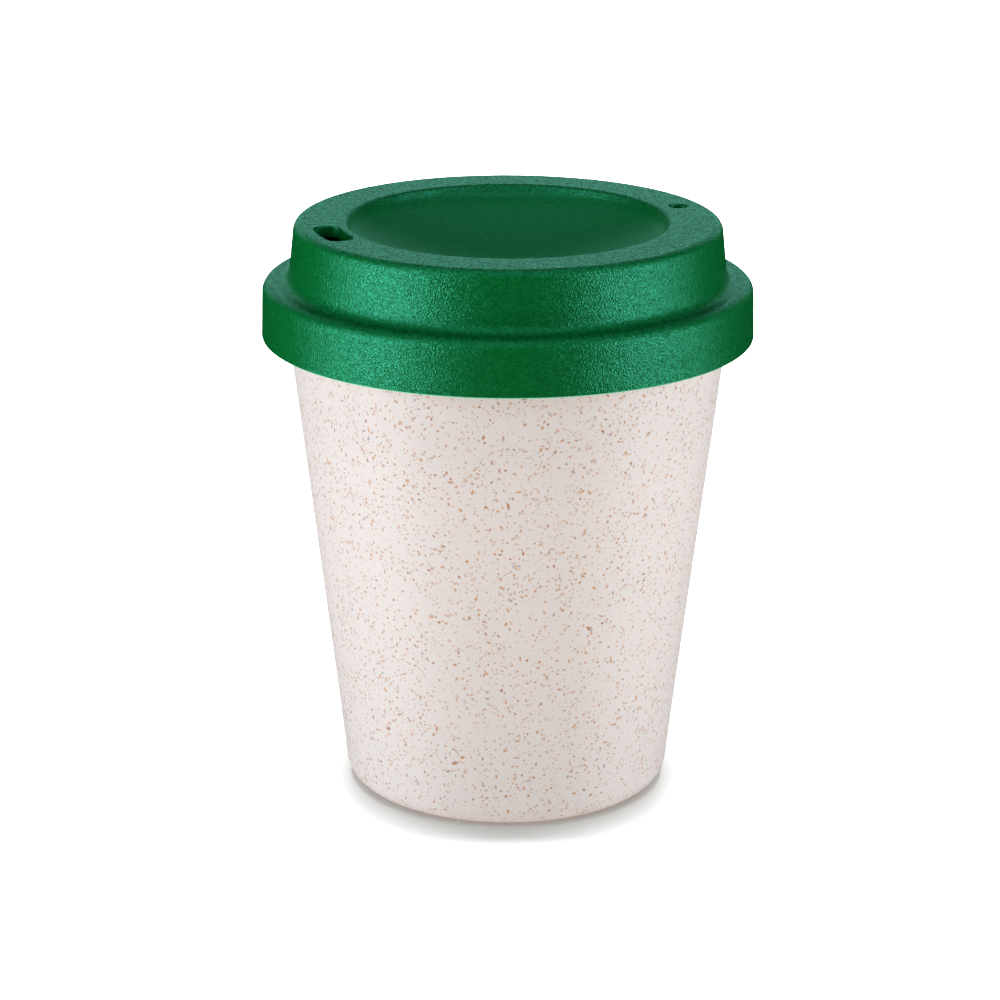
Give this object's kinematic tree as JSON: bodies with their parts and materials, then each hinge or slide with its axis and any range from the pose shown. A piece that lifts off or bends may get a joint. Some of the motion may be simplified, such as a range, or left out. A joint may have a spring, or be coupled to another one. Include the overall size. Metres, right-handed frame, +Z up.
{
  "type": "drinking cup with lid",
  "caption": "Tapered reusable drinking cup of speckled rice husk composite with a green push-on two-tier sip lid and a hidden silicone seal ring.",
  "frame": {"origin": "centre of the cup's foot, on the surface that it stands on", "axes": "+Z up along the cup's axis, -X towards the sip hole, +X towards the vent"},
  "size_m": [0.09, 0.09, 0.1069],
  "materials": {
    "cup_composite": "smooth satin off-white rice husk composite, speckled with small tan, brown and grey husk flakes",
    "lid_plastic": "dark green polypropylene with a fine spark-eroded grain, satin sheen",
    "seal_silicone": "soft matt off-white silicone"
  },
  "bodies": {
    "cup": {"cup_body": "cup_composite"},
    "seal": {"lid_seal_ring": "seal_silicone"},
    "lid": {"lid": "lid_plastic"}
  },
  "joints": [
    {"name": "lid_lift", "type": "slide", "parent": "cup", "child": "seal", "axis": [0, 0, 1], "range_m": [0, 0.08]},
    {"name": "lid_turn", "type": "hinge", "parent": "seal", "child": "lid", "pos_m": [0, 0, 0.09], "axis": [0, 0, 1], "continuous": true}
  ]
}
